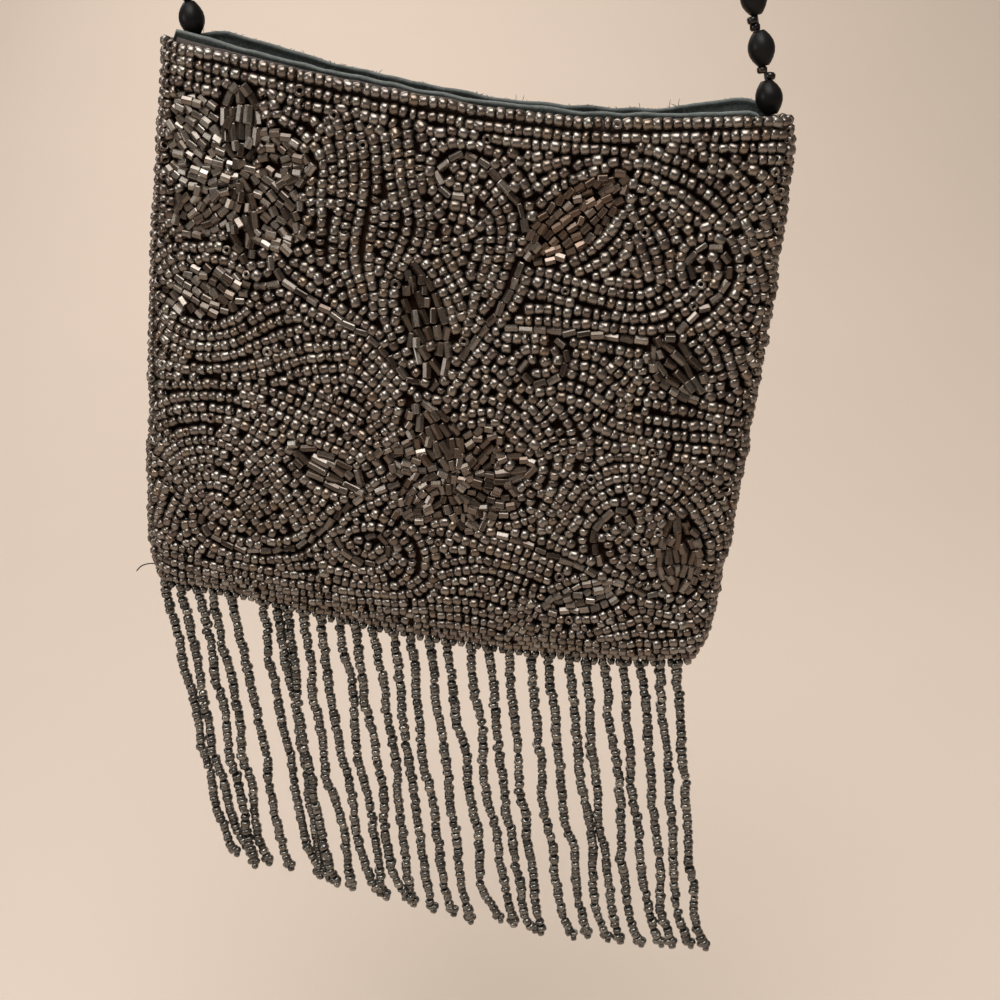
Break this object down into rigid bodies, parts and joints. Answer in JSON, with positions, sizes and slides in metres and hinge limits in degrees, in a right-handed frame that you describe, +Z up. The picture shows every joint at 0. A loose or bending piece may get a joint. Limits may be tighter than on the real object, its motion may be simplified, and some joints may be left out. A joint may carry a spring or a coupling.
{
  "type": "beaded evening bag",
  "caption": "Small flat evening bag covered in metallic seed beads, with a cloth lining, a beaded fringe along its bottom seam and a strap of black oval beads, hanging from a peg.",
  "frame": {"origin": "point on the peg where the top of the strap rests", "axes": "+Z up along the hanging strap, +X to the right across the beaded front, the front faces -Y"},
  "size_m": [0.126, 0.0185, 0.5365],
  "materials": {
    "front_beads": "gunmetal-coated glass seed beads and cut beads, sewn close on dark cloth",
    "back_beads": "gunmetal-coated glass seed beads in plain rows on dark cloth",
    "lining_cloth": "dark grey-green plain woven lining with a soft sheen",
    "fringe_beads": "dark pewter glass seed beads on thread",
    "strap_beads": "satin black oval glass beads with small dark seed beads between"
  },
  "bodies": {
    "root": {"front_panel": "front_beads", "back_panel": "back_beads", "lining": "lining_cloth", "fringe": "fringe_beads", "strap_left": "strap_beads", "strap_right": "strap_beads"}
  },
  "joints": []
}
